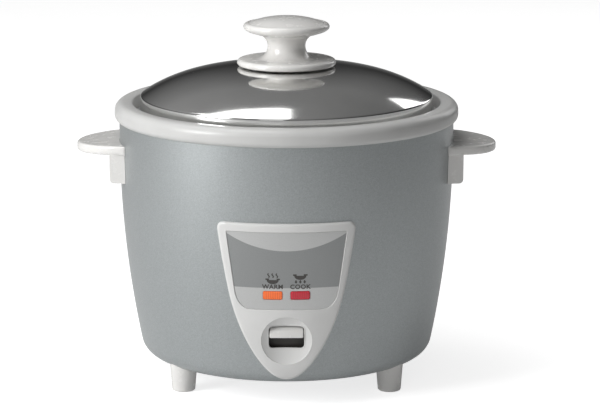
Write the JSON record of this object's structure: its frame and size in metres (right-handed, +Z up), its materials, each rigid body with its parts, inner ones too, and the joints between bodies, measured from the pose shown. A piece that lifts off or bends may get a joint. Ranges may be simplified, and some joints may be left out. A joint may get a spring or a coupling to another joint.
{
  "type": "rice cooker",
  "caption": "Barrel-shaped rice cooker with side handles, a domed metal lid with a raised knob, a lift-out pot, and a front switch panel with lamps.",
  "frame": {"origin": "on the table at the centre of the cooker's base", "axes": "+X to the right handle, -Y to the front panel, +Z up"},
  "size_m": [0.2552, 0.209, 0.2202],
  "materials": {
    "silver_paint": "fine metallic silver paint, satin",
    "ring_plastic": "pale grey satin plastic",
    "white_plastic": "glossy white plastic",
    "lid_steel": "polished stainless steel",
    "pot_aluminium": "satin spun aluminium",
    "cast_aluminium": "cast and turned aluminium",
    "zinc_steel": "zinc-plated sheet steel",
    "brass": "bright brass",
    "orange_lens": "clear orange lamp lens",
    "red_lens": "clear red lamp lens",
    "neon_glass": "clear lamp glass",
    "label_film": "printed metallic film",
    "dark_moulding": "dark heat-resistant moulding",
    "ferrite": "dull black ferrite"
  },
  "bodies": {
    "cooker": {"outer_shell": "silver_paint", "top_ring": "ring_plastic", "handle_left": "white_plastic", "handle_right": "white_plastic", "control_panel": "white_plastic", "foot_front_left": "white_plastic", "foot_front_right": "white_plastic", "foot_rear_left": "white_plastic", "foot_rear_right": "white_plastic", "heating_plate": "cast_aluminium", "inner_well": "zinc_steel", "base_plate": "zinc_steel", "heater_element": "zinc_steel", "thermostat_cup": "zinc_steel", "sensor_spring": "zinc_steel", "lever_bracket": "zinc_steel", "pivot_pin": "zinc_steel", "return_spring": "zinc_steel", "foot_screw_front_left": "zinc_steel", "foot_screw_front_right": "zinc_steel", "foot_screw_rear_left": "zinc_steel", "foot_screw_rear_right": "zinc_steel", "handle_screw_left_front": "zinc_steel", "handle_screw_left_rear": "zinc_steel", "handle_screw_right_front": "zinc_steel", "handle_screw_right_rear": "zinc_steel", "plate_screw_1": "zinc_steel", "plate_screw_2": "zinc_steel", "plate_screw_3": "zinc_steel", "inlet_screw_left": "zinc_steel", "inlet_screw_right": "zinc_steel", "fixed_contact": "brass", "inlet_pin_left": "brass", "inlet_pin_right": "brass", "warm_lens": "orange_lens", "cook_lens": "red_lens", "warm_bulb": "neon_glass", "cook_bulb": "neon_glass", "panel_label": "label_film", "lamp_holder": "dark_moulding", "contact_block": "dark_moulding", "inlet_housing": "dark_moulding"},
    "pot": {"inner_pot": "pot_aluminium"},
    "lid": {"lid_shell": "lid_steel", "lid_knob": "white_plastic", "knob_cap": "white_plastic", "knob_washer": "zinc_steel", "knob_screw": "zinc_steel"},
    "lever": {"lever_arm": "zinc_steel", "lever_knob": "white_plastic"},
    "magnet": {"magnet": "ferrite"},
    "contact_leaf": {"moving_contact": "brass"},
    "sensor": {"sensor_cap": "pot_aluminium", "ferrite_disc": "ferrite"}
  },
  "joints": [
    {"name": "pot_lift", "type": "slide", "parent": "cooker", "child": "pot", "axis": [0, 0, 1], "range_m": [0, 0.14]},
    {"name": "lid_lift", "type": "slide", "parent": "pot", "child": "lid", "axis": [0, 0, 1], "range_m": [0, 0.1]},
    {"name": "cook_lever", "type": "hinge", "parent": "cooker", "child": "lever", "pos_m": [0, -0.038, 0.047], "axis": [1, 0, 0], "range_deg": [0, 6.2], "stiffness_Nm_per_rad": 0.4, "springref_deg": -8.59},
    {"name": "magnet_rise", "type": "slide", "parent": "cooker", "child": "magnet", "axis": [0, 0, 1], "range_m": [0, 0.0044]},
    {"name": "contact_bend", "type": "hinge", "parent": "cooker", "child": "contact_leaf", "pos_m": [-0.024, -0.052, 0.0491], "axis": [1, 0, 0], "range_deg": [0, 3.75]},
    {"name": "sensor_press", "type": "slide", "parent": "cooker", "child": "sensor", "axis": [0, 0, 1], "range_m": [-0.0015, 0], "stiffness_N_per_m": 900, "springref_m": 0.0015, "deforming": ["sensor_spring"]}
  ],
  "couplings": [
    {"joint": "magnet_rise", "follows": "cook_lever", "m_per_rad": 0.04},
    {"joint": "contact_bend", "follows": "cook_lever", "ratio": 0.6}
  ]
}
